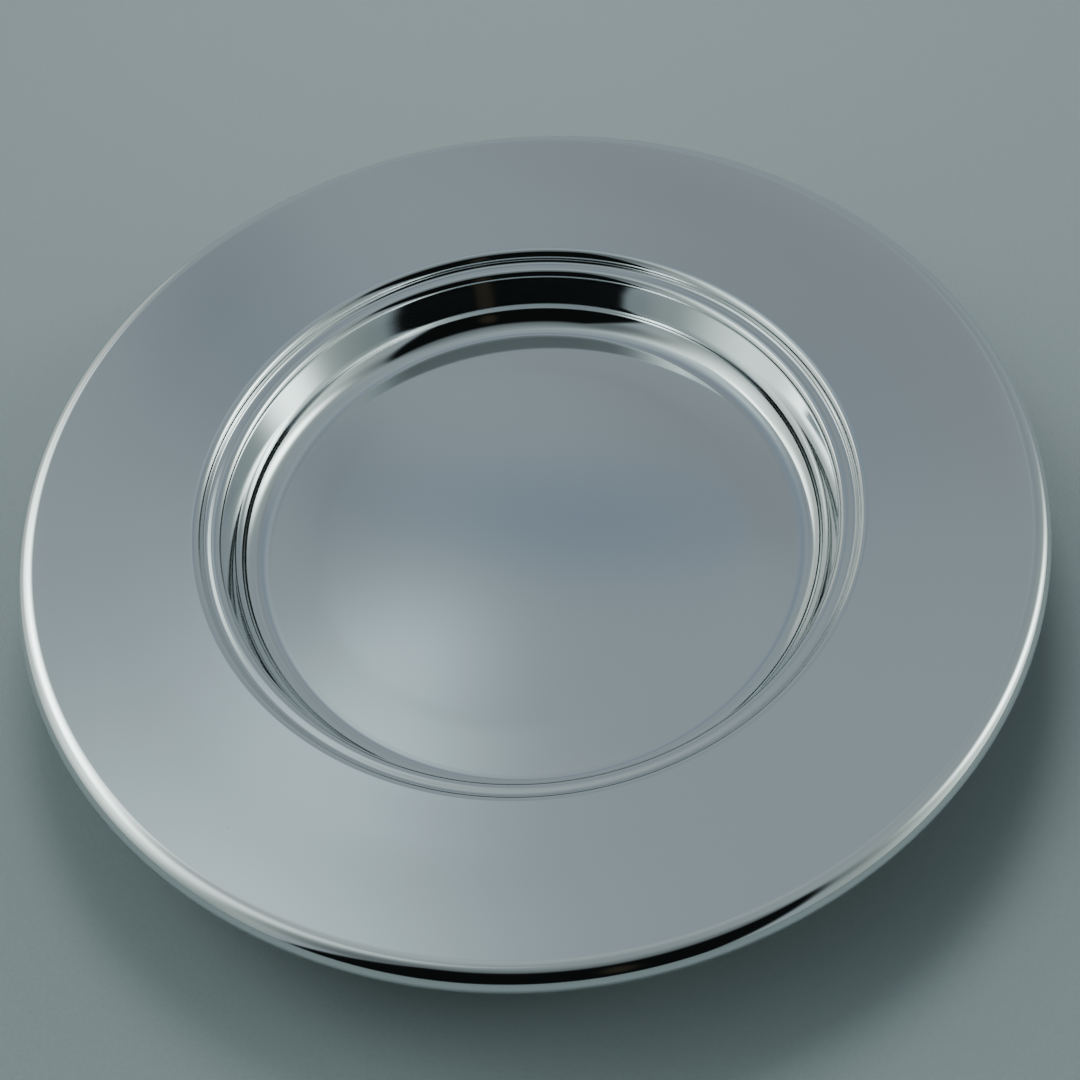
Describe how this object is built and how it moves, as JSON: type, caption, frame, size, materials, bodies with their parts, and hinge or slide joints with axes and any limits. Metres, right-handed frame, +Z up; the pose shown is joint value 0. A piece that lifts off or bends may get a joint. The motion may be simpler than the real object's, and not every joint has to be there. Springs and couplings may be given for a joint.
{
  "type": "offering plate",
  "caption": "Round polished metal offering plate with a wide sloping flange, a rolled edge, a stepped ledge and a round well with a slightly dished floor.",
  "frame": {"origin": "centre of the face the plate rests on", "axes": "+Z up along the plate's axis; the plate is round, so X and Y are any two level directions"},
  "size_m": [0.3048, 0.3048, 0.0377],
  "materials": {
    "polished_metal": "mirror polished",
    "felt": "felt"
  },
  "bodies": {
    "root": {"plate_shell": "polished_metal", "base_felt": "felt"}
  },
  "joints": []
}
